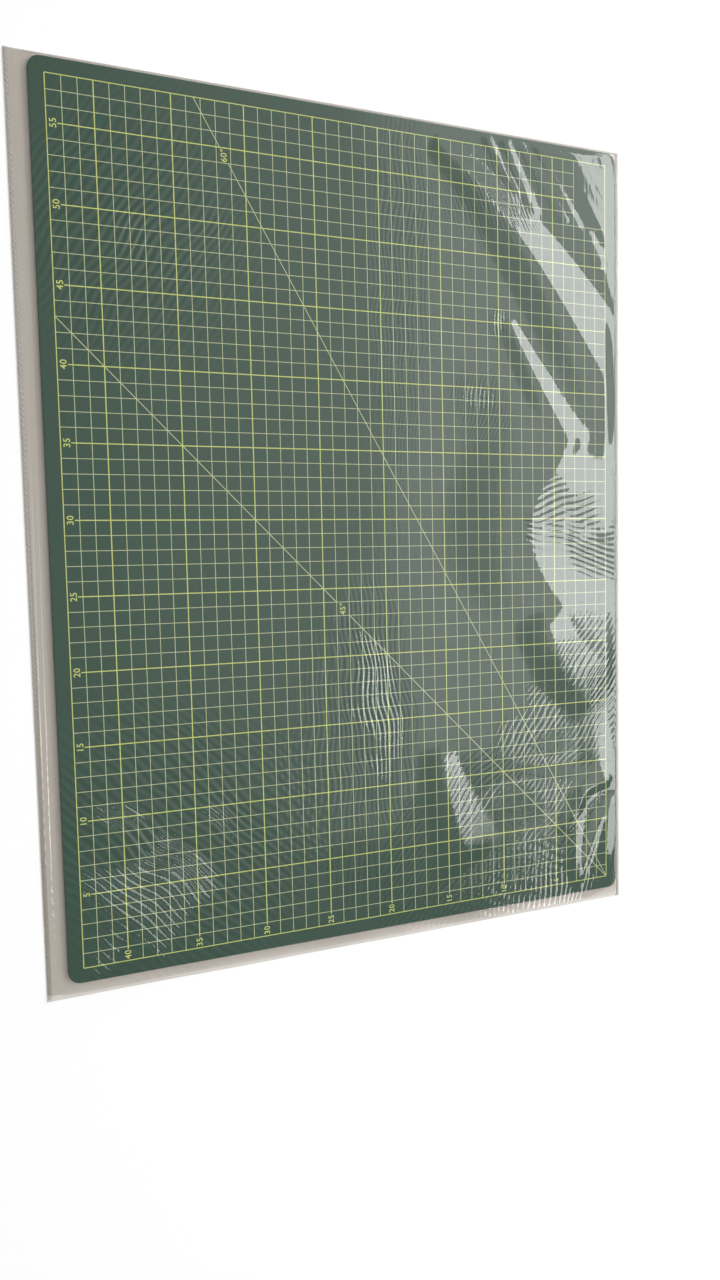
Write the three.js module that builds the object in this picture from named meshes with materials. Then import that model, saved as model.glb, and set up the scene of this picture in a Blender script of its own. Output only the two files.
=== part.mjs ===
// A self-healing cutting mat, A2 size, in the clear polythene sleeve that it is kept in.
// Millimetres, +Z up out of the printed face, +Y towards the sleeve's closed end.
// The origin is under the middle of the sleeve, on the surface that it lies on.
import * as THREE from 'three';

// The mat: three plies bonded face to face.
const MAT_WIDTH = 450;
const MAT_LENGTH = 600;
const MAT_CORNER_RADIUS = 8;
const SKIN_THICKNESS = 1;
const CORE_THICKNESS = 1;
const EDGE_ROUNDING = 0.3;

// The print: a centimetre grid counted from its origin, the corner at the right end of the mouth side.
const GRID_PITCH = 10;
const GRID_LEAST_MARGIN = 10;
const LINES_PER_HEAVY_LINE = 5;
const HEAVY_LINE = 0.7;
const FRAME_LINE = 0.6;
const GUIDE_LINE = 0.5;
const INK_THICKNESS = 0.04;
const GUIDE_START = 6;
const NUMBER_GAP = 9;
const BLANK_FIELD_COLUMNS = 3;
const BLANK_FIELD_ROWS = 5;

// The sleeve: one film folded at the far end, sealed along both sides, open at the mouth.
const FILM_THICKNESS = 0.1;
const FILM_CLEARANCE = 0.3;
const EDGE_CLEARANCE = 0.5;
const LEFT_MARGIN = 14;
const RIGHT_MARGIN = 5.5;
const FOLD_MARGIN = 3;
const FRONT_LIP = 6;
const REAR_LIP = 10;
const WELD_WIDTH = 3;
const WELD_RIB_PITCH = 3.6;
const WELD_RIB_HEIGHT = 0.15;
const FOLD_WIDTH = 1.2;
const AIR_HOLE_DIAMETER = 6;
const AIR_HOLE_FROM_LEFT = 44.3;
const AIR_HOLE_FROM_END = 34.5;

// How finely the round forms are faceted. A three.js curve takes two steps for each that it is given.
const CORNER_STEPS = 8;
const ROUNDING_STEPS = 3;
const FLANK_STEPS = 10;
const HOLE_STEPS = 24;

// Sizes that follow from those above.
const MAT_THICKNESS = 2 * SKIN_THICKNESS + CORE_THICKNESS;
const GRID_COLUMNS = Math.floor((MAT_WIDTH - 2 * GRID_LEAST_MARGIN) / GRID_PITCH);
const GRID_ROWS = Math.floor((MAT_LENGTH - 2 * GRID_LEAST_MARGIN) / GRID_PITCH);
const GRID_WIDTH = GRID_COLUMNS * GRID_PITCH;
const GRID_LENGTH = GRID_ROWS * GRID_PITCH;
const SLEEVE_WIDTH = LEFT_MARGIN + MAT_WIDTH + RIGHT_MARGIN;
const SLEEVE_LENGTH = REAR_LIP + MAT_LENGTH + FOLD_MARGIN;
const MAT_X = (LEFT_MARGIN - RIGHT_MARGIN) / 2;
const MAT_Y = (REAR_LIP - FOLD_MARGIN) / 2;
const MAT_Z = FILM_THICKNESS + FILM_CLEARANCE;
const FRONT_FILM_Z = MAT_Z + MAT_THICKNESS + 2 * INK_THICKNESS + FILM_CLEARANCE;
const SEALED_THICKNESS = 2 * FILM_THICKNESS;

// Where the sleeve's film turns: flat over the mat within TURN, sealed or folded outside SEAL.
const TURN = {
  left: MAT_X - MAT_WIDTH / 2 - EDGE_CLEARANCE,
  right: MAT_X + MAT_WIDTH / 2 + EDGE_CLEARANCE,
  end: MAT_Y + MAT_LENGTH / 2 + EDGE_CLEARANCE,
  mouth: MAT_Y - MAT_LENGTH / 2 - FRONT_LIP,
};
const SEAL = {
  left: -SLEEVE_WIDTH / 2 + WELD_WIDTH,
  right: SLEEVE_WIDTH / 2 - WELD_WIDTH,
  end: SLEEVE_LENGTH / 2 - FOLD_WIDTH,
};

const GREEN_PVC = { color: 0x2f4a40, roughness: 0.6, metalness: 0 };
const GREY_CORE = { color: 0x6f6a62, roughness: 0.7, metalness: 0 };
const YELLOW_INK = { color: 0xd6e4a8, roughness: 0.6, metalness: 0 };
const CLEAR_FILM = { color: 0xe8ecec, roughness: 0.15, metalness: 0, transparent: true, opacity: 0.25 };

function piece(name, geometry, finish) {
  const mesh = new THREE.Mesh(geometry, new THREE.MeshStandardMaterial(finish));
  mesh.name = name;
  return mesh;
}

// A closed skin over rings of equally many points, each anticlockwise seen from the rings after it.
function loft(rings) {
  const count = rings[0].length;
  const last = (rings.length - 1) * count;
  const triangles = [];
  for (let ring = 0; ring < rings.length - 1; ring += 1) {
    for (let i = 0; i < count; i += 1) {
      const a = ring * count + i;
      const b = ring * count + ((i + 1) % count);
      triangles.push(a, b, b + count, a, b + count, a + count);
    }
  }
  for (let i = 1; i < count - 1; i += 1) {
    triangles.push(0, i + 1, i);
    triangles.push(last, last + i, last + i + 1);
  }
  const geometry = new THREE.BufferGeometry().setFromPoints(rings.flat());
  geometry.setIndex(triangles);
  geometry.computeVertexNormals();
  return geometry;
}

function rectangle(x0, y0, x1, y1) {
  const corners = [[x0, y0], [x1, y0], [x1, y1], [x0, y1]];
  return new THREE.Shape(corners.map(([x, y]) => new THREE.Vector2(x, y)));
}

// A flat sheet of an outline, standing on a height.
function sheet(outline, bottom, thickness) {
  const geometry = new THREE.ExtrudeGeometry(outline, {
    depth: thickness,
    bevelEnabled: false,
    curveSegments: HOLE_STEPS / 2,
  });
  return geometry.translate(0, 0, bottom);
}

// The mat's outline at a height, drawn in by an inset.
function matRing(inset, height) {
  const outline = new THREE.Path();
  const x = MAT_WIDTH / 2 - MAT_CORNER_RADIUS;
  const y = MAT_LENGTH / 2 - MAT_CORNER_RADIUS;
  const radius = MAT_CORNER_RADIUS - inset;
  const quarter = Math.PI / 2;
  [[x, -y], [x, y], [-x, y], [-x, -y]].forEach(([cx, cy], corner) => {
    outline.absarc(cx, cy, radius, (corner - 1) * quarter, corner * quarter, false);
  });
  const points = outline.getPoints(CORNER_STEPS / 2);
  return points.map((point) => new THREE.Vector3(point.x, point.y, height));
}

// Rings round the mat's edge, from its upright wall to a face, as the cutting die rounds it.
function roundedEdge(face, inward) {
  const rings = [];
  for (let step = 0; step <= ROUNDING_STEPS; step += 1) {
    const angle = (step / ROUNDING_STEPS) * (Math.PI / 2);
    const inset = EDGE_ROUNDING * (1 - Math.cos(angle));
    const depth = EDGE_ROUNDING * (1 - Math.sin(angle));
    rings.push(matRing(inset, face + inward * depth));
  }
  return rings;
}

// The three plies, rounded only where an edge stays outside the stack.
function bottomSkin() {
  return loft([...roundedEdge(0, 1).reverse(), matRing(0, SKIN_THICKNESS)]);
}

function coreSheet() {
  return loft([matRing(0, SKIN_THICKNESS), matRing(0, SKIN_THICKNESS + CORE_THICKNESS)]);
}

function topSkin() {
  return loft([matRing(0, SKIN_THICKNESS + CORE_THICKNESS), ...roundedEdge(MAT_THICKNESS, -1)]);
}

// The heavy lines between two sides of the frame, counted from the grid's origin.
function heavyLines(count) {
  const lines = [];
  for (let line = LINES_PER_HEAVY_LINE; line < count; line += LINES_PER_HEAVY_LINE) {
    lines.push(line);
  }
  return lines;
}

// The grid's frame and heavy lines as straight bars. Each heavy line starts past its number, and one
// that meets the blank corner field stops short of it.
function gridBars() {
  const x = GRID_WIDTH / 2;
  const y = GRID_LENGTH / 2;
  const edge = FRAME_LINE / 2;
  const half = HEAVY_LINE / 2;
  const bars = [
    { x0: -x - edge, y0: -y - edge, x1: x + edge, y1: -y + edge },
    { x0: -x - edge, y0: y - edge, x1: x + edge, y1: y + edge },
    { x0: -x - edge, y0: -y - edge, x1: -x + edge, y1: y + edge },
    { x0: x - edge, y0: -y - edge, x1: x + edge, y1: y + edge },
  ];
  for (const column of heavyLines(GRID_COLUMNS)) {
    const middle = x - column * GRID_PITCH;
    bars.push({ x0: middle - half, y0: -y + NUMBER_GAP, x1: middle + half, y1: y + edge });
  }
  for (const row of heavyLines(GRID_ROWS)) {
    const middle = row * GRID_PITCH - y;
    const inBlankField = row > GRID_ROWS - BLANK_FIELD_ROWS;
    const stop = inBlankField ? x - BLANK_FIELD_COLUMNS * GRID_PITCH : x + edge;
    bars.push({ x0: -x + NUMBER_GAP, y0: middle - half, x1: stop, y1: middle + half });
  }
  return bars;
}

// Crossing bars as one film of ink: the cells that the bars' edges mark out are filled where a bar
// covers them, and walled where their neighbour is clear.
function inkFilm(bars, bottom, top) {
  const inOrder = (values) => [...new Set(values)].sort((a, b) => a - b);
  const xs = inOrder(bars.flatMap((bar) => [bar.x0, bar.x1]));
  const ys = inOrder(bars.flatMap((bar) => [bar.y0, bar.y1]));
  const corners = [bottom, top].map((z) => ys.map((y) => xs.map((x) => new THREE.Vector3(x, y, z))));
  const corner = (i, j, level) => (level * ys.length + j) * xs.length + i;
  const isInk = (i, j) => {
    const x = (xs[i] + xs[i + 1]) / 2;
    const y = (ys[j] + ys[j + 1]) / 2;
    return bars.some((bar) => x > bar.x0 && x < bar.x1 && y > bar.y0 && y < bar.y1);
  };
  const triangles = [];
  const addQuad = (a, b, c, d) => triangles.push(a, b, c, a, c, d);
  for (let j = 0; j < ys.length - 1; j += 1) {
    for (let i = 0; i < xs.length - 1; i += 1) {
      if (!isInk(i, j)) {
        continue;
      }
      const round = [[i, j], [i + 1, j], [i + 1, j + 1], [i, j + 1]];
      const beyond = [[i, j - 1], [i + 1, j], [i, j + 1], [i - 1, j]];
      const low = round.map(([column, row]) => corner(column, row, 0));
      const high = round.map(([column, row]) => corner(column, row, 1));
      addQuad(high[0], high[1], high[2], high[3]);
      addQuad(low[3], low[2], low[1], low[0]);
      beyond.forEach(([column, row], side) => {
        const next = (side + 1) % 4;
        if (!isInk(column, row)) {
          addQuad(low[side], low[next], high[next], high[side]);
        }
      });
    }
  }
  const geometry = new THREE.BufferGeometry().setFromPoints(corners.flat(2));
  geometry.setIndex(triangles);
  geometry.computeVertexNormals();
  return geometry;
}

// A guide line printed over the grid, from beside the grid's origin to the inside of the frame.
function guideLine(name, degrees) {
  const angle = THREE.MathUtils.degToRad(degrees);
  const toSide = (GRID_WIDTH - FRAME_LINE) / Math.cos(angle);
  const toEnd = (GRID_LENGTH - FRAME_LINE) / Math.sin(angle);
  const outline = rectangle(GUIDE_START, -GUIDE_LINE / 2, Math.min(toSide, toEnd), GUIDE_LINE / 2);
  const line = piece(name, sheet(outline, 0, INK_THICKNESS), YELLOW_INK);
  line.position.set(GRID_WIDTH / 2, -GRID_LENGTH / 2, MAT_THICKNESS + INK_THICKNESS);
  line.rotation.z = Math.PI - angle;
  return line;
}

// A flat panel of film, with the air hole punched through it.
function panel(x0, y0, x1, y1, bottom) {
  const hole = new THREE.Path();
  const x = MAT_X - MAT_WIDTH / 2 + AIR_HOLE_FROM_LEFT;
  const y = MAT_Y + MAT_LENGTH / 2 - AIR_HOLE_FROM_END;
  hole.absarc(x, y, AIR_HOLE_DIAMETER / 2, 0, 2 * Math.PI, true);
  const outline = rectangle(x0, y0, x1, y1);
  outline.holes.push(hole);
  return sheet(outline, bottom, FILM_THICKNESS);
}

// Film that leaves the front panel level, drops beside the mat in an S and lands level on its seal.
// Its two ends come in anticlockwise order round the mat.
function flank(from, to) {
  const rings = [];
  for (let step = 0; step <= FLANK_STEPS; step += 1) {
    const t = step / FLANK_STEPS;
    const share = (1 + Math.cos(Math.PI * t)) / 2;
    const bottom = THREE.MathUtils.lerp(FILM_THICKNESS, FRONT_FILM_Z, share);
    const top = bottom + FILM_THICKNESS;
    const a = from.turn.clone().lerp(from.seal, t);
    const b = to.turn.clone().lerp(to.seal, t);
    const section = [[a, bottom], [b, bottom], [b, top], [a, top]];
    rings.push(section.map(([point, height]) => new THREE.Vector3(point.x, point.y, height)));
  }
  return loft(rings);
}

// A profile drawn in the YZ plane and extruded along X.
function alongX(profile, start, length) {
  const geometry = new THREE.ExtrudeGeometry(profile, {
    depth: length,
    bevelEnabled: false,
    curveSegments: CORNER_STEPS / 2,
  });
  const across = new THREE.Vector3(1, 0, 0);
  const along = new THREE.Vector3(0, 1, 0);
  const up = new THREE.Vector3(0, 0, 1);
  geometry.applyMatrix4(new THREE.Matrix4().makeBasis(along, up, across));
  return geometry.translate(start, 0, 0);
}

// A side seal: both films crimped into one band, with the sealing jaw's ribs across it.
function weld(start) {
  const end = SLEEVE_LENGTH / 2;
  const ribs = Math.floor(SLEEVE_LENGTH / WELD_RIB_PITCH);
  const profile = new THREE.Shape();
  profile.moveTo(-end, 0);
  profile.lineTo(end, 0);
  profile.lineTo(end, SEALED_THICKNESS);
  for (let rib = ribs / 2; rib > -ribs / 2; rib -= 1) {
    profile.lineTo(rib * WELD_RIB_PITCH, SEALED_THICKNESS);
    profile.lineTo((rib - 0.5) * WELD_RIB_PITCH, SEALED_THICKNESS + WELD_RIB_HEIGHT);
  }
  profile.lineTo((-ribs / 2) * WELD_RIB_PITCH, SEALED_THICKNESS);
  profile.lineTo(-end, SEALED_THICKNESS);
  return alongX(profile, start, WELD_WIDTH);
}

// The sleeve's closed end: the film creased back under itself, with a round nose.
function endFold() {
  const nose = SLEEVE_LENGTH / 2 - FILM_THICKNESS;
  const profile = new THREE.Shape();
  profile.moveTo(SEAL.end, 0);
  profile.lineTo(nose, 0);
  profile.absarc(nose, FILM_THICKNESS, FILM_THICKNESS, -Math.PI / 2, Math.PI / 2, false);
  profile.lineTo(SEAL.end, SEALED_THICKNESS);
  return alongX(profile, SEAL.left, SEAL.right - SEAL.left);
}

const mat = new THREE.Group();
mat.position.set(MAT_X, MAT_Y, MAT_Z);
mat.add(
  piece('bottom_skin', bottomSkin(), GREEN_PVC),
  piece('core_sheet', coreSheet(), GREY_CORE),
  piece('top_skin', topSkin(), GREEN_PVC),
  piece('grid_print', inkFilm(gridBars(), MAT_THICKNESS, MAT_THICKNESS + INK_THICKNESS), YELLOW_INK),
  guideLine('guide_line_45', 45),
  guideLine('guide_line_60', 60),
);

// Where each flank begins and ends: at the mouth, and at the mitred corners of the closed end.
const at = (x, y) => new THREE.Vector2(x, y);
const mouthRight = { turn: at(TURN.right, TURN.mouth), seal: at(SEAL.right, TURN.mouth) };
const endRight = { turn: at(TURN.right, TURN.end), seal: at(SEAL.right, SEAL.end) };
const endLeft = { turn: at(TURN.left, TURN.end), seal: at(SEAL.left, SEAL.end) };
const mouthLeft = { turn: at(TURN.left, TURN.mouth), seal: at(SEAL.left, TURN.mouth) };

const sleeve = new THREE.Group();
sleeve.add(
  piece('rear_panel', panel(SEAL.left, -SLEEVE_LENGTH / 2, SEAL.right, SEAL.end, 0), CLEAR_FILM),
  piece('front_panel', panel(TURN.left, TURN.mouth, TURN.right, TURN.end, FRONT_FILM_Z), CLEAR_FILM),
  piece('right_flank', flank(mouthRight, endRight), CLEAR_FILM),
  piece('end_flank', flank(endRight, endLeft), CLEAR_FILM),
  piece('left_flank', flank(endLeft, mouthLeft), CLEAR_FILM),
  piece('left_weld', weld(-SLEEVE_WIDTH / 2), CLEAR_FILM),
  piece('right_weld', weld(SEAL.right), CLEAR_FILM),
  piece('end_fold', endFold(), CLEAR_FILM),
);

const product = new THREE.Group();
product.add(mat, sleeve);
export default product;
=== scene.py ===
import math

import bpy
import numpy as np
from mathutils import Matrix, Vector


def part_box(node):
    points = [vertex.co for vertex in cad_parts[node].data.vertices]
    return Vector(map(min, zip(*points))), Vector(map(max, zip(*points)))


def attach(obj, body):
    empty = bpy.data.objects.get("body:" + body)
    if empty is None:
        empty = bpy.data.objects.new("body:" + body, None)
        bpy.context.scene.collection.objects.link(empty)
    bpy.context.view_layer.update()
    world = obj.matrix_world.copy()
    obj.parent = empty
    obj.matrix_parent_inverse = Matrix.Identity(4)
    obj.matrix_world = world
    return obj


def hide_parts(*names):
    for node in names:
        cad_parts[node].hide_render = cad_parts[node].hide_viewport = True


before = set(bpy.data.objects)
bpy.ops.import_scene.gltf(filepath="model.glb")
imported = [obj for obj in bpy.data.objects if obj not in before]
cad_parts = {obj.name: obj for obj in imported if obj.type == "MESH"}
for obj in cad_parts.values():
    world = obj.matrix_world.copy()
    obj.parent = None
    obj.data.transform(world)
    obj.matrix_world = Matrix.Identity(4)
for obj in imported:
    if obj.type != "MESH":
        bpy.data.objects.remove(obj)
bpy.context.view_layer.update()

# The mat's two skins: self-healing PVC, dark green all through, calendered to sheet and hot-bonded to the
# core before all three plies are die-cut together. The rollers leave a satin face with a fine, even grain
# and a faint cloudiness in the pigment.
MM = 0.001
PVC_GREEN = "#284e3e"
PVC_GREEN_CLOUD = "#2c5343"
PVC_GRAIN = 1.6 * MM  # the real grain is about 0.3 mm and is drawn coarser so that it shows
PVC_CLOUD = 60 * MM
PVC_ROUGHNESS = (0.42, 0.56)
PVC_RELIEF = 0.1 * MM
PVC_RELIEF_STRENGTH = 0.35
PVC_IOR = 1.53


def linear(hex_colour):
    """An sRGB hex value as the linear colour that a shader takes."""
    parts = [int(hex_colour[i:i + 2], 16) / 255 for i in (1, 3, 5)]
    return [c / 12.92 if c <= 0.04045 else ((c + 0.055) / 1.055) ** 2.4 for c in parts] + [1.0]


def add(tree, kind, inputs=None, **settings):
    """Adds a node with its settings; an input is a plain value, or the output socket that feeds it."""
    made = tree.nodes.new(kind)
    for name, value in settings.items():
        setattr(made, name, value)
    for key, value in (inputs or {}).items():
        if isinstance(value, bpy.types.NodeSocket):
            tree.links.new(value, made.inputs[key])
        else:
            made.inputs[key].default_value = value
    return made


def new_material(name):
    """An empty node material with its output, ready for a shader."""
    material = bpy.data.materials.new(name)
    material.use_nodes = True
    material.node_tree.nodes.clear()
    return material, add(material.node_tree, "ShaderNodeOutputMaterial")


def calendered_pvc():
    material, output = new_material("calendered_green_pvc")
    tree = material.node_tree
    place = add(tree, "ShaderNodeTexCoord").outputs["Object"]
    cloud = add(tree, "ShaderNodeTexNoise", {"Vector": place, "Scale": 1 / PVC_CLOUD, "Detail": 3.0})
    grain = add(tree, "ShaderNodeTexNoise", {"Vector": place, "Scale": 1 / PVC_GRAIN, "Detail": 2.0})
    colour = add(tree, "ShaderNodeMix", {
        0: cloud.outputs[0], 6: linear(PVC_GREEN), 7: linear(PVC_GREEN_CLOUD),
    }, data_type="RGBA")
    low, high = PVC_ROUGHNESS
    polish = add(tree, "ShaderNodeMapRange", {0: grain.outputs[0], 3: low, 4: high})
    relief = add(tree, "ShaderNodeBump", {
        "Height": grain.outputs[0], "Strength": PVC_RELIEF_STRENGTH, "Distance": PVC_RELIEF,
    })
    shader = add(tree, "ShaderNodeBsdfPrincipled", {
        "Base Color": colour.outputs[2],
        "Roughness": polish.outputs[0],
        "Normal": relief.outputs[0],
        "IOR": PVC_IOR,
    })
    tree.links.new(shader.outputs[0], output.inputs["Surface"])
    return material


def finish_node(name, material):
    """Gives a CAD node its material in every slot."""
    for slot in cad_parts[name].material_slots:
        slot.material = material


pvc = calendered_pvc()
finish_node("top_skin", pvc)
finish_node("bottom_skin", pvc)

# The mat's core: a stiff grey-brown sheet of reground PVC between the skins. It shows only as a thin band
# round the die-cut edge, where the blade leaves it slightly streaked along the stack.
CORE_GREY = "#5d584f"
CORE_GREY_DARK = "#4a463f"
CORE_STREAK = 4 * MM
CORE_ROUGHNESS = (0.6, 0.8)


def reground_core():
    material, output = new_material("reground_pvc_core")
    tree = material.node_tree
    place = add(tree, "ShaderNodeTexCoord").outputs["Object"]
    streak = add(tree, "ShaderNodeTexNoise", {"Vector": place, "Scale": 1 / CORE_STREAK, "Detail": 4.0})
    colour = add(tree, "ShaderNodeMix", {
        0: streak.outputs[0], 6: linear(CORE_GREY_DARK), 7: linear(CORE_GREY),
    }, data_type="RGBA")
    low, high = CORE_ROUGHNESS
    polish = add(tree, "ShaderNodeMapRange", {0: streak.outputs[0], 3: low, 4: high})
    shader = add(tree, "ShaderNodeBsdfPrincipled", {
        "Base Color": colour.outputs[2],
        "Roughness": polish.outputs[0],
        "IOR": PVC_IOR,
    })
    tree.links.new(shader.outputs[0], output.inputs["Surface"])
    return material


finish_node("core_sheet", reground_core())

# The printed grid: yellow-green vinyl ink screened on the top skin. A frame, a line at every centimetre
# and a heavier one at every fifth, which stops short of its number. In one corner the lines end at the edge
# of a plain field.
INK = "#e0ee88"
INK_FINE = "#dbe7b4"
INK_SPECK = 0.8 * MM
INK_COVER = (0.82, 1.08)  # how much the ink's colour is dimmed or raised by its specks
INK_ROUGHNESS = 0.45
INK_IOR = 1.5
INK_THICKNESS = 0.04 * MM
FINE_LAYER = 1.0  # layers of ink in thicknesses, each line a little above those it crosses
HEAVY_LAYER = 1.25
CROSSING_LAYER = 0.12
GRID_PITCH = 10 * MM
GRID_COLUMNS = 43
GRID_ROWS = 58
LINES_PER_HEAVY_LINE = 5
FINE_LINE = 0.42 * MM
HEAVY_LINE = 0.7 * MM
FRAME_LINE = 0.6 * MM
SIDE_NUMBER_GAP = 6.8 * MM
MOUTH_NUMBER_GAP = 8.2 * MM
FIELD_COLUMNS = 3
FIELD_ROWS = 5

print_low, print_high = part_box("grid_print")
PRINT_Z = print_low[2]
GRID_ORIGIN = Vector((print_high[0] - FRAME_LINE / 2, print_low[1] + FRAME_LINE / 2, PRINT_Z))


def screened_ink(name, colour):
    """Ink that lies in a film thin enough for the mesh of the screen to leave faint specks in it."""
    material, output = new_material(name)
    tree = material.node_tree
    place = add(tree, "ShaderNodeTexCoord").outputs["Object"]
    speck = add(tree, "ShaderNodeTexNoise", {"Vector": place, "Scale": 1 / INK_SPECK, "Detail": 2.0})
    low, high = INK_COVER
    cover = add(tree, "ShaderNodeMapRange", {0: speck.outputs[0], 3: low, 4: high})
    shade = add(tree, "ShaderNodeVectorMath", {0: linear(colour)[:3], 3: cover.outputs[0]},
                operation="SCALE")
    shader = add(tree, "ShaderNodeBsdfPrincipled", {
        "Base Color": shade.outputs[0],
        "Roughness": INK_ROUGHNESS,
        "IOR": INK_IOR,
    })
    tree.links.new(shader.outputs[0], output.inputs["Surface"])
    return material


heavy_ink = screened_ink("screened_yellow_ink", INK)
fine_ink = screened_ink("screened_pale_ink", INK_FINE)


def socket_on(tree, name, kind):
    """Gives a geometry tree a named input."""
    tree.interface.new_socket(name, in_out="INPUT", socket_type=kind)


def maths(tree, operation, *values):
    """The output of a math node on these values."""
    return add(tree, "ShaderNodeMath", dict(enumerate(values)), operation=operation).outputs[0]


def ruled_lines_tree():
    """Parallel lines stepped along X that each run along Y, counted from the grid's origin corner.

    Every fifth line is heavy and trimmed at its numbered end. The lines from First at field to Last at
    field are trimmed at the end where the plain field lies. Wanted says which lines this tree makes: 0 the
    fine ones, 1 the heavy ones and the frame's two.
    """
    tree = bpy.data.node_groups.new("ruled_lines", "GeometryNodeTree")
    tree.interface.new_socket("Lines", in_out="OUTPUT", socket_type="NodeSocketGeometry")
    for name in ("Pitch", "Run", "Fine width", "Heavy width", "Frame width", "Ink"):
        socket_on(tree, name, "NodeSocketFloat")
    for name in ("Number gap at start", "Number gap at end", "Field at start", "Field at end"):
        socket_on(tree, name, "NodeSocketFloat")
    for name in ("Spaces", "Every", "First at field", "Last at field", "Wanted"):
        socket_on(tree, name, "NodeSocketInt")
    socket_on(tree, "Material", "NodeSocketMaterial")
    given = add(tree, "NodeGroupInput").outputs
    output = add(tree, "NodeGroupOutput")

    def choose(test, no, yes):
        return add(tree, "GeometryNodeSwitch", {0: test, 1: no, 2: yes}, input_type="FLOAT").outputs[0]

    line = add(tree, "GeometryNodeInputIndex").outputs[0]
    at_first = maths(tree, "COMPARE", line, 0.0)
    at_last = maths(tree, "COMPARE", line, given["Spaces"])
    on_frame = maths(tree, "MAXIMUM", at_first, at_last)
    on_fifth = maths(tree, "COMPARE", maths(tree, "MODULO", line, given["Every"]), 0.0)
    numbered = maths(tree, "MULTIPLY", on_fifth, maths(tree, "SUBTRACT", 1.0, on_frame))
    from_first = maths(tree, "GREATER_THAN", maths(tree, "ADD", line, 0.5), given["First at field"])
    to_last = maths(tree, "LESS_THAN", maths(tree, "SUBTRACT", line, 0.5), given["Last at field"])
    at_field = maths(tree, "MULTIPLY", from_first, to_last)
    trims = []
    for end in ("start", "end"):
        number_gap = maths(tree, "MULTIPLY", numbered, given["Number gap at " + end])
        field_gap = maths(tree, "MULTIPLY", at_field, given["Field at " + end])
        trims.append(maths(tree, "MAXIMUM", number_gap, field_gap))
    length = maths(tree, "SUBTRACT", maths(tree, "SUBTRACT", given["Run"], trims[0]), trims[1])
    middle = maths(tree, "ADD", trims[0], maths(tree, "DIVIDE", length, 2.0))
    inner_width = choose(numbered, given["Fine width"], given["Heavy width"])
    width = choose(on_frame, inner_width, given["Frame width"])
    wanted = maths(tree, "COMPARE", maths(tree, "MAXIMUM", on_frame, numbered), given["Wanted"])

    count = maths(tree, "ADD", given["Spaces"], 1.0)
    step = add(tree, "ShaderNodeCombineXYZ", {"X": given["Pitch"]}).outputs[0]
    points = add(tree, "GeometryNodeMeshLine", {"Count": count, "Offset": step}).outputs[0]
    lift = maths(tree, "DIVIDE", given["Ink"], 2.0)
    shift = add(tree, "ShaderNodeCombineXYZ", {"Y": middle, "Z": lift}).outputs[0]
    placed = add(tree, "GeometryNodeSetPosition", {"Geometry": points, "Offset": shift}).outputs[0]
    bar = add(tree, "GeometryNodeMeshCube", {"Size": (1.0, 1.0, 1.0)}).outputs[0]
    size = add(tree, "ShaderNodeCombineXYZ", {"X": width, "Y": length, "Z": given["Ink"]}).outputs[0]
    bars = add(tree, "GeometryNodeInstanceOnPoints", {
        "Points": placed, "Selection": wanted, "Instance": bar, "Scale": size,
    }).outputs[0]
    real = add(tree, "GeometryNodeRealizeInstances", {0: bars}).outputs[0]
    inked = add(tree, "GeometryNodeSetMaterial", {"Geometry": real, "Material": given["Material"]})
    tree.links.new(inked.outputs[0], output.inputs[0])
    return tree


def grown(name, tree, values, place=Matrix()):
    """The mesh that a geometry tree makes from these named inputs, put in its place."""
    host = bpy.data.objects.new(name, bpy.data.meshes.new(name + "_seed"))
    bpy.context.scene.collection.objects.link(host)
    modifier = host.modifiers.new(name, "NODES")
    modifier.node_group = tree
    for item in tree.interface.items_tree:
        if item.in_out == "INPUT" and item.name in values:
            modifier[item.identifier] = values[item.name]
    bpy.context.view_layer.update()
    mesh = bpy.data.meshes.new_from_object(host.evaluated_get(bpy.context.evaluated_depsgraph_get()))
    host.modifiers.clear()
    host.data = mesh
    mesh.name = name
    mesh.transform(place)
    return host


def joined(name, objects):
    """One object from several that sit at the origin; the first one's materials come first."""
    with bpy.context.temp_override(active_object=objects[0], selected_editable_objects=objects):
        bpy.ops.object.join()
    objects[0].name = name
    objects[0].data.name = name
    return objects[0]


line_tree = ruled_lines_tree()
LINE_SIZES = {
    "Fine width": FINE_LINE, "Heavy width": HEAVY_LINE, "Frame width": FRAME_LINE,
    "Every": LINES_PER_HEAVY_LINE,
}
LENGTHWISE = {
    **LINE_SIZES, "Pitch": -GRID_PITCH, "Run": GRID_ROWS * GRID_PITCH, "Spaces": GRID_COLUMNS,
    "Number gap at start": MOUTH_NUMBER_GAP, "First at field": 1, "Last at field": FIELD_COLUMNS - 1,
    "Field at end": FIELD_ROWS * GRID_PITCH,
}
CROSSWISE = {
    **LINE_SIZES, "Pitch": GRID_PITCH, "Run": GRID_COLUMNS * GRID_PITCH, "Spaces": GRID_ROWS,
    "Number gap at end": SIDE_NUMBER_GAP, "First at field": GRID_ROWS - FIELD_ROWS + 1,
    "Last at field": GRID_ROWS - 1, "Field at start": FIELD_COLUMNS * GRID_PITCH,
}
along_mat = Matrix.Translation(GRID_ORIGIN)
across_mat = along_mat @ Matrix.Rotation(math.pi / 2, 4, "Z")
line_sets = []
for weight, ink, layer in ((0, fine_ink, FINE_LAYER), (1, heavy_ink, HEAVY_LAYER)):
    for direction, sizes, place in (("along", LENGTHWISE, along_mat), ("across", CROSSWISE, across_mat)):
        height = INK_THICKNESS * (layer if direction == "along" else layer + CROSSING_LAYER)
        values = {**sizes, "Wanted": weight, "Ink": height, "Material": ink}
        line_sets.append(grown(f"lines_{direction}_{weight}", line_tree, values, place))
grid_lines = joined("printed_grid", line_sets)
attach(grid_lines, "mat")
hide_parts("grid_print")

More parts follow.
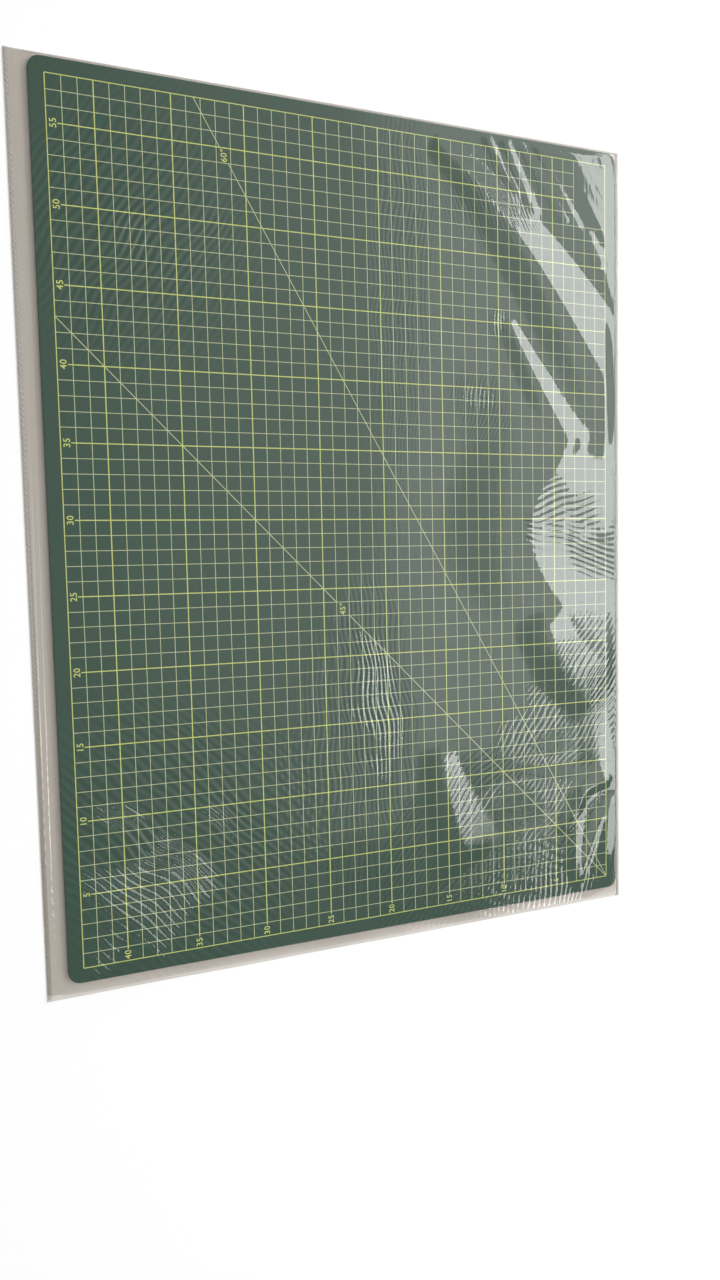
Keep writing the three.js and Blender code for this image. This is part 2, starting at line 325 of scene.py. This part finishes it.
# The two guide lines, printed in the same pass from the grid's origin at 45 and 60 degrees. Each breaks off
# in the one row of cells that holds its own label.
GUIDE_LINE = 0.5 * MM
GUIDE_LAYER = 1.5  # in thicknesses of ink, above every line that it crosses
GUIDES = {"guide_line_45": (45, 23), "guide_line_60": (60, 54)}  # the angle and the label's row


def ink_strip(start, stop, width, height):
    """Corners and faces of a thin bar of ink between two points on the print."""
    along = (stop - start).normalized()
    side = Vector((-along.y, along.x, 0)) * width / 2
    up = Vector((0, 0, height))
    low = [start + side, start - side, stop - side, stop + side]
    corners = low + [corner + up for corner in low]
    faces = [(0, 3, 2, 1), (4, 5, 6, 7), (0, 1, 5, 4), (1, 2, 6, 5), (2, 3, 7, 6), (3, 0, 4, 7)]
    return corners, faces


def mesh_object(name, corners, faces, material):
    mesh = bpy.data.meshes.new(name)
    mesh.from_pydata([tuple(corner) for corner in corners], [], faces)
    mesh.materials.append(material)
    made = bpy.data.objects.new(name, mesh)
    bpy.context.scene.collection.objects.link(made)
    return made


for node_name, (degrees, label_row) in GUIDES.items():
    angle = math.radians(degrees)
    heading = Vector((-math.cos(angle), math.sin(angle), 0))
    reach = min(GRID_COLUMNS * GRID_PITCH / math.cos(angle), GRID_ROWS * GRID_PITCH / math.sin(angle))
    gap = [row * GRID_PITCH / math.sin(angle) for row in (label_row, label_row + 1)]
    corners, faces = [], []
    for begin, end in ((0.0, gap[0]), (gap[1], reach)):
        strip, sides = ink_strip(GRID_ORIGIN + heading * begin, GRID_ORIGIN + heading * end,
                                 GUIDE_LINE, INK_THICKNESS * GUIDE_LAYER)
        faces += [tuple(i + len(corners) for i in side) for side in sides]
        corners += strip
    guide = mesh_object("printed_" + node_name, corners, faces, fine_ink)
    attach(guide, "mat")
    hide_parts(node_name)

# The scale's numbers, printed with the lines: plain figures that read up the mat from its right side, at
# every fifth line along the left frame and the mouth end, and one on each guide line.
FIGURE_HEIGHT = 4.3 * MM
FIGURE_SHARE = 0.7  # how tall the built-in face's figures are for its size
FIGURE_SWELL = 0.05 * MM
FIGURE_SPACING = 1.05
FIGURE_CURVE_STEPS = 4
FIGURE_INSET = 4.2 * MM
FIGURE_INK = INK_THICKNESS * 0.6


def figure(text, x, y):
    """A number as a mesh, lying on the print with its foot to the right."""
    curve = bpy.data.curves.new("figure", "FONT")
    curve.body = text
    curve.size = FIGURE_HEIGHT / FIGURE_SHARE
    curve.align_x = "CENTER"
    curve.align_y = "CENTER"
    curve.extrude = FIGURE_INK / 2
    curve.offset = FIGURE_SWELL
    curve.resolution_u = FIGURE_CURVE_STEPS
    curve.space_character = FIGURE_SPACING
    source = bpy.data.objects.new("figure", curve)
    bpy.context.scene.collection.objects.link(source)
    bpy.context.view_layer.update()
    mesh = bpy.data.meshes.new_from_object(source.evaluated_get(bpy.context.evaluated_depsgraph_get()))
    bpy.data.objects.remove(source)
    turned = Matrix.Rotation(math.pi / 2, 4, "Z")
    mesh.transform(Matrix.Translation((x, y, PRINT_Z + FIGURE_INK / 2)) @ turned)
    mesh.materials.clear()
    mesh.materials.append(heavy_ink)
    made = bpy.data.objects.new("figure_" + text, mesh)
    bpy.context.scene.collection.objects.link(made)
    return made


left_frame = GRID_ORIGIN.x - GRID_COLUMNS * GRID_PITCH
figures = []
for row in range(LINES_PER_HEAVY_LINE, GRID_ROWS, LINES_PER_HEAVY_LINE):
    figures.append(figure(str(row), left_frame + FIGURE_INSET, GRID_ORIGIN.y + row * GRID_PITCH))
for column in range(LINES_PER_HEAVY_LINE, GRID_COLUMNS, LINES_PER_HEAVY_LINE):
    figures.append(figure(str(column), GRID_ORIGIN.x - column * GRID_PITCH, GRID_ORIGIN.y + FIGURE_INSET))
for degrees, label_row in GUIDES.values():
    rise = (label_row + 0.5) * GRID_PITCH
    run = rise / math.tan(math.radians(degrees))
    figures.append(figure(f"{degrees}°", GRID_ORIGIN.x - run, GRID_ORIGIN.y + rise))
numbers = joined("printed_numbers", figures)
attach(numbers, "mat")

# The sleeve's rear film: low-density polythene, blown, slit and folded, that lies flat under the mat. Its
# grey haze is partly the film's own and partly painted shade, which greys the margins where it is seen
# double;
# its lip stands out past the front one at the mouth and lifts a little where nothing weighs on it.
FILM_TINT = "#f4f2ef"
FILM_WHITE = "#ffffff"
# partly painted shade: a grey that darkens the film at the margins, on top of its own tint
REAR_GREY_AND_SHADE = "#e2ddd7"
FILM_MIRROR = 0.085  # both faces of the film, seen square on
GLANCE_POWER = 5.0  # how late the film turns into a full mirror as it is seen flatter
# partly painted shade: this much grey haze greys the margins where the film lies over the table
REAR_HAZE_AND_SHADE = 0.5
FRONT_HAZE = 0.012
WELD_HAZE = 0.35
REAR_ROUGHNESS = 0.15
FRONT_ROUGHNESS = 0.05
WELD_ROUGHNESS = 0.2
REAR_COCKLE = 0.06 * MM
FRONT_COCKLE = 0.024 * MM
COCKLE_SIZE = (2.6 * MM, 15 * MM, 15 * MM)
RIPPLE_SWAY_SIZE = 38 * MM
RIPPLE_SWAY = 9 * MM
REAR_Z = 0.05 * MM
REAR_STEP = 2.5 * MM
REAR_LIP_LIFT = 0.9 * MM
REAR_LIP_WAVE = 21 * MM
REAR_LIP_REACH = 2.5 * MM
REAR_LIP_RUN = 12 * MM
LIP_STEP = 1 * MM
HOLE_RADIUS = 3 * MM
HOLE_FROM_LEFT = 44.3 * MM
HOLE_FROM_END = 34.5 * MM
RIM_REACH = 0.75  # how near the hole's rim a point is drawn on to it, in steps of the film

left_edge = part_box("left_weld")[0][0]
right_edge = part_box("right_weld")[1][0]
fold_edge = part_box("end_fold")[1][1]
rear_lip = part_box("rear_panel")[0][1]
mat_low, mat_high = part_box("top_skin")
hole_centre = np.array((mat_low[0] + HOLE_FROM_LEFT, mat_high[1] - HOLE_FROM_END))


def ripple_height(tree, place, ripples, below):
    """Adds sets of parallel ripples to a height in metres; each fades out round its own middle.

    A wave texture of scale 1 repeats after a tenth of pi, which sets the scale for a spacing.
    """
    sway = add(tree, "ShaderNodeTexNoise", {"Vector": place, "Scale": 1 / RIPPLE_SWAY_SIZE, "Detail": 0.0},
               noise_dimensions="2D").outputs["Color"]
    aside = add(tree, "ShaderNodeVectorMath", {0: sway, 1: (0.5, 0.5, 0.5)}, operation="SUBTRACT").outputs[0]
    swayed = add(tree, "ShaderNodeVectorMath", {0: aside, 1: (RIPPLE_SWAY,) * 3, 2: place},
                 operation="MULTIPLY_ADD").outputs[0]
    total = below
    for middle_x, middle_y, heading, reach, spread, spacing, height in ripples:
        local = add(tree, "ShaderNodeMapping", {
            "Vector": swayed, "Location": (middle_x * MM, middle_y * MM, 0.0),
            "Rotation": (0.0, 0.0, math.radians(heading)), "Scale": (reach * MM, spread * MM, 1.0),
        }, vector_type="TEXTURE").outputs[0]
        wave = add(tree, "ShaderNodeTexWave", {"Vector": local, "Scale": math.pi * spread / (10 * spacing)},
                   bands_direction="Y").outputs["Fac"]
        fade = add(tree, "ShaderNodeTexGradient", {"Vector": local},
                   gradient_type="SPHERICAL").outputs["Fac"]
        total = maths(tree, "MULTIPLY_ADD", maths(tree, "MULTIPLY", wave, fade), height * MM, total)
    return total


def blown_film(name, haze, haze_colour, roughness, cockle, ripples=()):
    """Thin clear film: it mirrors more the flatter it is seen, scatters a little and lets the rest by."""
    material, output = new_material(name)
    tree = material.node_tree
    place = add(tree, "ShaderNodeTexCoord").outputs["Object"]
    drawn_out = add(tree, "ShaderNodeVectorMath", {0: place, 1: COCKLE_SIZE}, operation="DIVIDE").outputs[0]
    crumple = add(tree, "ShaderNodeTexNoise", {"Vector": drawn_out, "Scale": 1.0, "Detail": 1.0},
                  noise_dimensions="2D").outputs[0]
    height = ripple_height(tree, place, ripples, maths(tree, "MULTIPLY", crumple, cockle))
    relief = add(tree, "ShaderNodeBump", {"Height": height, "Strength": 1.0, "Distance": 1.0}).outputs[0]
    facing = add(tree, "ShaderNodeLayerWeight", {"Normal": relief}).outputs["Facing"]
    glancing = maths(tree, "POWER", facing, GLANCE_POWER)
    mirror = add(tree, "ShaderNodeMapRange", {0: glancing, 3: FILM_MIRROR, 4: 1.0}).outputs[0]
    clear = add(tree, "ShaderNodeBsdfTransparent", {"Color": linear(FILM_TINT)}).outputs[0]
    veil = add(tree, "ShaderNodeBsdfDiffuse", {"Color": linear(haze_colour), "Normal": relief}).outputs[0]
    gloss = add(tree, "ShaderNodeBsdfGlossy", {"Roughness": roughness, "Normal": relief}).outputs[0]
    body = add(tree, "ShaderNodeMixShader", {0: haze, 1: clear, 2: veil}).outputs[0]
    shader = add(tree, "ShaderNodeMixShader", {0: mirror, 1: body, 2: gloss}).outputs[0]
    tree.links.new(shader, output.inputs["Surface"])
    return material


def stations(start, *stretches):
    """Points along one side of a film: each stretch runs from where the last ended, in steps of its own."""
    points = [start]
    for stop, step in stretches:
        count = max(1, round((stop - points[-1]) / step))
        points += list(np.linspace(points[-1], stop, count + 1)[1:])
    return np.array(points)


def film_sheet(name, xs, ys, heights, material):
    """A film as one smooth sheet over the stations xs and ys, with the air hole punched through it."""
    across, along = np.meshgrid(xs, ys)
    flat = np.stack([across.ravel(), along.ravel()], axis=1)
    from_hole = flat - hole_centre
    distance = np.linalg.norm(from_hole, axis=1)
    step = xs[len(xs) // 2 + 1] - xs[len(xs) // 2]
    on_rim = np.abs(distance - HOLE_RADIUS) < RIM_REACH * step
    flat[on_rim] = hole_centre + from_hole[on_rim] * (HOLE_RADIUS / distance[on_rim])[:, None]
    inside = distance < HOLE_RADIUS - RIM_REACH * step
    points = np.column_stack([flat, heights(flat[:, 0], flat[:, 1])])
    first = (np.arange(len(ys) - 1)[:, None] * len(xs) + np.arange(len(xs) - 1)).ravel()
    quads = np.stack([first, first + 1, first + len(xs) + 1, first + len(xs)], axis=1)
    rim_count = (on_rim | inside)[quads].sum(axis=1)
    quads = quads[~(inside[quads].any(axis=1) | (rim_count == 4))]
    used, renumbered = np.unique(quads, return_inverse=True)
    made = mesh_object(name, points[used], renumbered.reshape(-1, 4).tolist(), material)
    made.data.shade_smooth()
    return made


def rear_height(x, y):
    lift = REAR_LIP_LIFT * (1 + np.sin(x / REAR_LIP_WAVE)) / 2
    return REAR_Z + lift * np.exp(-(y - rear_lip) / REAR_LIP_REACH)


rear_xs = stations(left_edge, (right_edge, REAR_STEP))
rear_ys = stations(rear_lip, (rear_lip + REAR_LIP_RUN, LIP_STEP), (fold_edge, REAR_STEP))
rear_material = blown_film("clear_polythene_rear", REAR_HAZE_AND_SHADE, REAR_GREY_AND_SHADE, REAR_ROUGHNESS, REAR_COCKLE)
rear_film = film_sheet("rear_film", rear_xs, rear_ys, rear_height, rear_material)
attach(rear_film, "sleeve")
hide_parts("rear_panel")

# The sleeve's front film: the same polythene, folded over at the far end and drawn down to the welds at both
# sides. It clings to the print, and the slack that is left stands up in broad folds from the right weld and
# in sets of small ripples, like corduroy, where the film was pinched or dragged.
turn_left, front_lip, front_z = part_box("front_panel")[0]
turn_right, turn_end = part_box("front_panel")[1][:2]
seal_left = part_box("left_weld")[1][0]
seal_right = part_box("right_weld")[0][0]
seal_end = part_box("end_fold")[0][1]
SEALED_Z = 0.2 * MM
FILM_STEP = 1.85 * MM
SEAL_STEP = 1 * MM
LEFT_FLANK_STEP = 0.5 * MM
RIGHT_FLANK_STEP = 0.4 * MM
END_STEP = 0.3 * MM
LIP_RUN = 8 * MM
# Each set of ripples, in millimetres: middle x and y, heading of the crests in degrees, how far it reaches
# along and across them, their spacing and height.
RIPPLES = {
    "upper left corduroy": (-155, 203, 54, 110, 105, 5.2, 0.3),
    "lower left corduroy": (-145, -205, -45, 125, 125, 5.8, 0.34),
    "lower left pleats": (-146, -210, -45, 80, 26, 6.5, 0.5),
    "upper middle pleats": (38, 180, 87, 150, 34, 3.4, 0.1),
    "lower middle pleats": (8, -122, -84, 105, 36, 3.8, 0.36),
    "left of the lower middle": (-30, -165, 88, 150, 60, 4.4, 0.12),
    "starburst, upper rays": (184, 27, 13, 80, 26, 5.0, 0.36),
    "starburst, middle rays": (174, 3, 0, 80, 26, 4.6, 0.36),
    "starburst, lower rays": (192, -14, -14, 66, 26, 5.0, 0.36),
    "lower right corduroy": (112, -226, 46, 125, 90, 4.3, 0.24),
    "lower right pleats": (180, -140, 50, 110, 60, 4.5, 0.32),
    "mouth pleats": (118, -280, 82, 46, 95, 4.6, 0.26),
    "feathers on the long fold": (112, 255, -66, 48, 58, 3.4, 0.14),
    "small star": (120, 161, 88, 20, 12, 2.8, 0.17),
    "feathers by the star": (102, 104, 72, 32, 36, 3.2, 0.16),
}
# Each fold is a crest that bends from its start to its end and falls away to the left of that line: start,
# bend and end x and y, how wide the fall is at both ends, in millimetres, how steep it is there, and its
# hollow, 1 for an even fall and more for one that levels out.
FOLDS = {
    "long fold": ((71, 288), (142, 240), (238, 96), (8, 46), (0.21, 0.07), 1),
    "short fold": ((130, 162), (150, 122), (184, 78), (6, 22), (0.15, 0.1), 1),
    "right pillow": ((166, 50), (101, -20), (232, -100), (80, 50), (0.052, 0.052), 1.6),
    "patch under the pillow": ((160, -74), (168, -98), (198, -124), (22, 26), (0.19, 0.15), 1),
    "pale pillow": ((64, -172), (68, -208), (82, -240), (14, 30), (0.16, 0.15), 1),
    "right edge pillow": ((202, -138), (207, -160), (213, -190), (16, 16), (0.07, 0.07), 1),
    "corner streak 1": ((112, 300), (120, 284), (136, 262), (4, 5), (0.17, 0.15), 1),
    "corner streak 2": ((128, 300), (136, 277), (152, 250), (5, 6), (0.14, 0.13), 1),
    "corner streak 3": ((140, 301), (160, 276), (180, 246), (4, 6), (0.13, 0.13), 1),
    "corner streak 4": ((154, 301), (180, 262), (212, 216), (5, 9), (0.13, 0.1), 1),
    "corner streak 5": ((170, 303), (192, 279), (228, 226), (15, 12), (0.09, 0.09), 1),
    "corner streak 6": ((192, 303), (211, 276), (232, 250), (14, 9), (0.08, 0.08), 1),
    "corner streak 7": ((212, 303), (221, 288), (233, 270), (9, 7), (0.07, 0.07), 1),
    "corner streak 8": ((204, 240), (214, 222), (232, 196), (5, 8), (0.1, 0.1), 1),
    "lower right pinch": ((231, -206), (200, -196), (180, -240), (9, 6), (0.22, 0.12), 1),
    "lower right second pinch": ((231, -226), (222, -226), (222, -262), (6, 5), (0.2, 0.12), 1),
    "lower right wrinkle": ((196, -212), (186, -240), (190, -282), (6, 5), (0.12, 0.12), 1),
    "lower right last wrinkle": ((214, -236), (206, -258), (190, -290), (5, 4), (0.13, 0.12), 1),
}
FOLD_POINTS = 60
FOLD_RISE = (1.1, 6)  # how far the rise on the right reaches: a share of the width, and millimetres more
FOLD_TAPER = (0.6, 4)  # the same for how far the fold runs on past its ends
# The rest of the slack, in millimetres: how near the right edge and the far end the film is pulled flat, the
# height and size of its gentle drift, the most that it rises, and the wave of its lip at the mouth.
EDGE_PULL = 14
END_PULL = 6
DRIFT_HEIGHT = 0.1
DRIFT_SIZE = 90.0
DRIFT_WAVES = 4
DRIFT_PEAK = 2.5  # about the most that its waves add up to
SLACK_LIMIT = 8.0
LIP_LIFT = 0.9
LIP_WAVE = 17.0
LIP_REACH = 3 * MM
# Two creases run down the left margin, slightly aslant, in millimetres; the second is the lower one.
CREASE_HEIGHT = 1.7
CREASE_WIDTH = 1.2
CREASE_INSET = 10.0
CREASE_SLANT = 5.5
SECOND_CREASE_SHARE = 0.6
SECOND_CREASE_OFFSET = 3.2
NOSE_DROP = 0.75
wander = np.random.default_rng(23)


def s_curve(t):
    """1 down to 0 as t goes from 0 to 1, level at both ends."""
    return (1 + np.cos(np.pi * np.clip(t, 0, 1))) / 2


def drift(x, y, size):
    """A smooth random field between about -1 and 1, that changes over about this size."""
    total = np.zeros_like(x)
    for _ in range(DRIFT_WAVES):
        angle, start = wander.uniform(0, 2 * math.pi, 2)
        wave = 2 * math.pi / (size * wander.uniform(0.8, 1.6))
        total += np.sin(wave * (x * math.cos(angle) + y * math.sin(angle)) + start)
    return total / DRIFT_PEAK


def fold_height(x, y, start, bend, end, widths, slopes, hollow):
    """A crest along a bent line: a fall on its left, a slow rise on its right, tapered at both ends."""
    t = np.linspace(0, 1, FOLD_POINTS)[:, None]
    path = (1 - t) ** 2 * np.array(start) + 2 * t * (1 - t) * np.array(bend) + t ** 2 * np.array(end)
    heading = np.gradient(path, axis=0)
    heading /= np.linalg.norm(heading, axis=1)[:, None]
    points = np.column_stack([x, y])
    nearest = np.argmin(((points[:, None, :] - path[None]) ** 2).sum(axis=2), axis=1)
    away = points - path[nearest]
    ahead = heading[nearest]
    to_left = ahead[:, 0] * away[:, 1] - ahead[:, 1] * away[:, 0]
    past_end = np.abs((away * ahead).sum(axis=1))
    place = nearest / (FOLD_POINTS - 1)
    width = widths[0] + (widths[1] - widths[0]) * place
    slope = slopes[0] + (slopes[1] - slopes[0]) * place
    peak = width * slope
    fall = np.clip(1 - to_left / width, 0, 1) ** hollow
    rise = s_curve(-to_left / (FOLD_RISE[0] * width + FOLD_RISE[1]))
    taper = s_curve(past_end / (FOLD_TAPER[0] * width + FOLD_TAPER[1]))
    return peak * np.where(to_left > 0, fall, rise) * taper


def front_height(x, y):
    drop = np.minimum(s_curve((turn_left - x) / (turn_left - seal_left)),
                      s_curve((x - turn_right) / (seal_right - turn_right)))
    drop = np.minimum(drop, s_curve((y - turn_end) / (seal_end - turn_end)))
    x_mm, y_mm = x / MM, y / MM
    from_side = (turn_right / MM - x_mm) / EDGE_PULL
    from_end = (turn_end / MM - y_mm) / END_PULL
    pulled = s_curve(1 - from_side) * s_curve(1 - from_end)
    folds = [fold_height(x_mm, y_mm, *sizes) for sizes in FOLDS.values()]
    slack = DRIFT_HEIGHT * (1 + drift(x_mm, y_mm, DRIFT_SIZE)) + np.sum(folds, axis=0) * pulled
    slack = np.clip(SLACK_LIMIT * np.tanh(slack / SLACK_LIMIT), 0, None)
    lip = LIP_LIFT * (1 + np.sin(x_mm / LIP_WAVE)) / 2 * np.exp(-(y - front_lip) / LIP_REACH)
    down_the_side = np.clip((fold_edge - y) / (fold_edge - front_lip), 0, 1)
    from_crease = x_mm - (left_edge / MM + CREASE_INSET - CREASE_SLANT * down_the_side)
    crease = np.exp(-(from_crease / CREASE_WIDTH) ** 2)
    crease += SECOND_CREASE_SHARE * np.exp(-((from_crease + SECOND_CREASE_OFFSET) / CREASE_WIDTH) ** 2)
    nose = np.clip((y - seal_end) / (fold_edge - seal_end), 0, 1)
    height = SEALED_Z * (1 - NOSE_DROP * nose ** 2) + (front_z - SEALED_Z) * drop
    raised = slack * drop ** 2 + lip * drop + CREASE_HEIGHT * crease * (1 - drop) * (1 - nose)
    return height + MM * raised


front_xs = stations(left_edge, (seal_left, SEAL_STEP), (turn_left, LEFT_FLANK_STEP), (turn_right, FILM_STEP),
                    (seal_right, RIGHT_FLANK_STEP), (right_edge, SEAL_STEP))
front_ys = stations(front_lip, (front_lip + LIP_RUN, LIP_STEP), (turn_end, FILM_STEP), (seal_end, END_STEP),
                    (fold_edge, END_STEP))
front_material = blown_film("clear_polythene_front", FRONT_HAZE, FILM_WHITE, FRONT_ROUGHNESS, FRONT_COCKLE,
                            RIPPLES.values())
front_film = film_sheet("front_film", front_xs, front_ys, front_height, front_material)
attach(front_film, "sleeve")
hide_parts("front_panel", "left_flank", "right_flank", "end_flank", "end_fold")

# The side welds: both films pressed between heated jaws into one band, 3 mm wide. The jaw's teeth leave a
# row of small pillows along it, whitened where the film was stretched.
WELD_PITCH = 3.6 * MM
PILLOW = (1.0 * MM, 1.1 * MM, 0.22 * MM)
WELD_BAND = 0.2 * MM
WELD_STATIONS = 60


def weld_tree():
    """A flat band along Y with a row of pillows down its middle."""
    tree = bpy.data.node_groups.new("crimped_weld", "GeometryNodeTree")
    tree.interface.new_socket("Weld", in_out="OUTPUT", socket_type="NodeSocketGeometry")
    for name in ("Width", "Length", "Thickness", "Pitch"):
        socket_on(tree, name, "NodeSocketFloat")
    socket_on(tree, "Pillow", "NodeSocketVector")
    socket_on(tree, "Pillows", "NodeSocketInt")
    socket_on(tree, "Material", "NodeSocketMaterial")
    given = add(tree, "NodeGroupInput").outputs
    output = add(tree, "NodeGroupOutput")
    size = add(tree, "ShaderNodeCombineXYZ", {
        "X": given["Width"], "Y": given["Length"], "Z": given["Thickness"],
    }).outputs[0]
    band = add(tree, "GeometryNodeMeshCube", {"Size": size, "Vertices Y": WELD_STATIONS}).outputs[0]
    step = add(tree, "ShaderNodeCombineXYZ", {"Y": given["Pitch"]}).outputs[0]
    run = maths(tree, "MULTIPLY", maths(tree, "SUBTRACT", given["Pillows"], 1.0), given["Pitch"])
    start_y = maths(tree, "MULTIPLY", run, -0.5)
    start_z = maths(tree, "MULTIPLY", given["Thickness"], 0.5)
    start = add(tree, "ShaderNodeCombineXYZ", {"Y": start_y, "Z": start_z}).outputs[0]
    row = add(tree, "GeometryNodeMeshLine", {
        "Count": given["Pillows"], "Start Location": start, "Offset": step,
    }).outputs[0]
    pillow = add(tree, "GeometryNodeMeshIcoSphere", {"Radius": 1.0, "Subdivisions": 2}).outputs[0]
    pillows = add(tree, "GeometryNodeInstanceOnPoints", {
        "Points": row, "Instance": pillow, "Scale": given["Pillow"],
    }).outputs[0]
    real = add(tree, "GeometryNodeRealizeInstances", {0: pillows}).outputs[0]
    smooth = add(tree, "GeometryNodeSetShadeSmooth", {0: real}).outputs[0]
    both = add(tree, "GeometryNodeJoinGeometry")
    tree.links.new(band, both.inputs[0])
    tree.links.new(smooth, both.inputs[0])
    made = add(tree, "GeometryNodeSetMaterial", {
        "Geometry": both.outputs[0], "Material": given["Material"],
    }).outputs[0]
    tree.links.new(made, output.inputs[0])
    return tree


crimped = weld_tree()
# The welds take the same grey, partly painted shade along the margins.
weld_film = blown_film("crimped_polythene", WELD_HAZE, REAR_GREY_AND_SHADE, WELD_ROUGHNESS, REAR_COCKLE)
for node_name in ("left_weld", "right_weld"):
    low, high = (Vector(corner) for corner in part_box(node_name))
    middle = (low + high) / 2
    weld = grown("crimped_" + node_name, crimped, {
        "Width": high.x - low.x, "Length": high.y - low.y, "Thickness": WELD_BAND, "Pitch": WELD_PITCH,
        "Pillow": PILLOW, "Pillows": int((high.y - low.y) / WELD_PITCH), "Material": weld_film,
    }, Matrix.Translation((middle.x, middle.y, SEALED_Z + WELD_BAND / 2)))
    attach(weld, "sleeve")
    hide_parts(node_name)

# The studio: a plain white table top, a soft overhead light that the film doesn't mirror and two that it
# does. Each mirrored light is a panel overhead, placed by the two spots of the film, in millimetres, that
# would show its corners if the film were flat.
FLOOR_WHITE = "#fcfcfc"
FLOOR_SIZE = 60.0
FLOOR_Z = -0.3 * MM
FLOOR_LIT = (0.7, 1.7)  # how far from the middle its shading fades into plain white, in metres
PANEL_HEIGHT = 3.0
OVERHEAD = ((-1.3, -1.3), (1.3, 1.3), 2.5)
PANELS = {
    "window": ((243, -360), (560, 480), 4.8),
    "ceiling lamp": ((-304, -460), (-222, -318), 3.2),
}
EYE = Vector((-295.8, -16.95, 678.4)) * MM
PLAIN_WHITE = (1, 1, 1, 1)


def ramp(tree, value, span, levels=(0.0, 1.0)):
    """A smooth step between two levels over this span of a value."""
    return add(tree, "ShaderNodeMapRange", {0: value, 1: span[0], 2: span[1], 3: levels[0], 4: levels[1]},
               interpolation_type="SMOOTHSTEP").outputs[0]


floor_material, floor_output = new_material("matt_white_table")
floor_tree = floor_material.node_tree
lit_floor = add(floor_tree, "ShaderNodeBsdfDiffuse", {"Color": linear(FLOOR_WHITE)}).outputs[0]
white_floor = add(floor_tree, "ShaderNodeEmission", {"Color": PLAIN_WHITE, "Strength": 1.0}).outputs[0]
floor_place = add(floor_tree, "ShaderNodeTexCoord").outputs["Object"]
floor_reach = add(floor_tree, "ShaderNodeVectorMath", {0: floor_place}, operation="LENGTH").outputs["Value"]
floor_seen = add(floor_tree, "ShaderNodeLightPath").outputs["Is Camera Ray"]
faded = maths(floor_tree, "MULTIPLY", ramp(floor_tree, floor_reach, FLOOR_LIT), floor_seen)
floor_shader = add(floor_tree, "ShaderNodeMixShader", {0: faded, 1: lit_floor, 2: white_floor})
floor_tree.links.new(floor_shader.outputs[0], floor_output.inputs["Surface"])
half = FLOOR_SIZE / 2
floor_corners = [(x * half, y * half, FLOOR_Z) for x, y in ((-1, -1), (1, -1), (1, 1), (-1, 1))]
floor = mesh_object("table_top", floor_corners, [(0, 1, 2, 3)], floor_material)


def panel_light(name, low, high, radiance, mirrored):
    """A level panel of even brightness, facing down, between two corners at the panel height."""
    lamp = bpy.data.lights.new(name, "AREA")
    lamp.shape = "RECTANGLE"
    lamp.size = high[0] - low[0]
    lamp.size_y = high[1] - low[1]
    lamp.energy = radiance * math.pi * lamp.size * lamp.size_y
    made = bpy.data.objects.new(name, lamp)
    bpy.context.scene.collection.objects.link(made)
    made.location = ((low[0] + high[0]) / 2, (low[1] + high[1]) / 2, PANEL_HEIGHT)
    made.visible_glossy = mirrored


def seen_in_film(x, y):
    """Where at the panel height the camera looks by way of flat film at x and y."""
    spot = Vector((x * MM, y * MM))
    return spot + (spot - EYE.xy) * PANEL_HEIGHT / EYE.z


panel_light("overhead", *OVERHEAD, False)
for panel_name, (low, high, radiance) in PANELS.items():
    panel_light(panel_name, seen_in_film(*low), seen_in_film(*high), radiance, True)

# The room that the film mirrors: a ceiling that grows lighter to the right and to the far end, and the top
# of a pale wall past it. A direction is taken as how far it leads across and along for its rise, and the
# camera itself sees plain white.
STEEP_LEAST = 0.2
CEILING_ACROSS = (-0.1, 0.5)
CEILING_LEVELS = (0.08, 0.62)
FAR_END_ALONG = (-0.5, -0.15)
FAR_END_LEVELS = (0.3, 1.0)
WALL_ACROSS = (0.43, 0.52)
WALL_ALONG = (-0.34, -0.285)
WALL_LEVELS = (-0.5, 0.66)
ROOM_LEAST = 0.1
world = bpy.data.worlds.new("studio")
world.use_nodes = True
bpy.context.scene.world = world
sky = world.node_tree
sky.nodes.clear()
direction_seen = add(sky, "ShaderNodeTexCoord").outputs["Generated"]
towards = add(sky, "ShaderNodeSeparateXYZ", {0: direction_seen}).outputs
steep = maths(sky, "MAXIMUM", towards["Z"], STEEP_LEAST)
across = maths(sky, "DIVIDE", towards["X"], steep)
along = maths(sky, "DIVIDE", towards["Y"], steep)
ceiling = maths(sky, "MULTIPLY", ramp(sky, across, CEILING_ACROSS, CEILING_LEVELS),
                ramp(sky, along, FAR_END_ALONG, FAR_END_LEVELS))
wall_side = ramp(sky, across, WALL_ACROSS)
wall = ramp(sky, along, WALL_ALONG, WALL_LEVELS)
room = maths(sky, "MAXIMUM", maths(sky, "MULTIPLY_ADD", wall_side, wall, ceiling), ROOM_LEAST)
seen = add(sky, "ShaderNodeLightPath").outputs["Is Camera Ray"]
strength = maths(sky, "MAXIMUM", room, seen)
glow = add(sky, "ShaderNodeBackground", {"Color": PLAIN_WHITE, "Strength": strength})
sky.links.new(glow.outputs[0], add(sky, "ShaderNodeOutputWorld").inputs["Surface"])

# The camera, where the photograph was taken from: its place and its angle of view were worked out from the
# grid's crossings.
PHOTO_HEIGHT = 1280
FOCAL_PIXELS = 997.5
LOOK = Vector((0.397, -0.0789, -0.9144))
UPWARD = Vector((0.0512, 0.9966, -0.0638))
camera_data = bpy.data.cameras.new("photo_camera")
camera_data.sensor_fit = "VERTICAL"
camera_data.sensor_height = 36.0
camera_data.lens = camera_data.sensor_height * FOCAL_PIXELS / PHOTO_HEIGHT
camera_data.clip_start = 0.01
camera = bpy.data.objects.new("photo_camera", camera_data)
bpy.context.scene.collection.objects.link(camera)
look = LOOK.normalized()
right = look.cross(UPWARD).normalized()
up = right.cross(look)
camera.matrix_world = Matrix.Translation(EYE) @ Matrix((right, up, -look)).transposed().to_4x4()
bpy.context.scene.camera = camera
bpy.context.scene.view_settings.view_transform = "Standard"
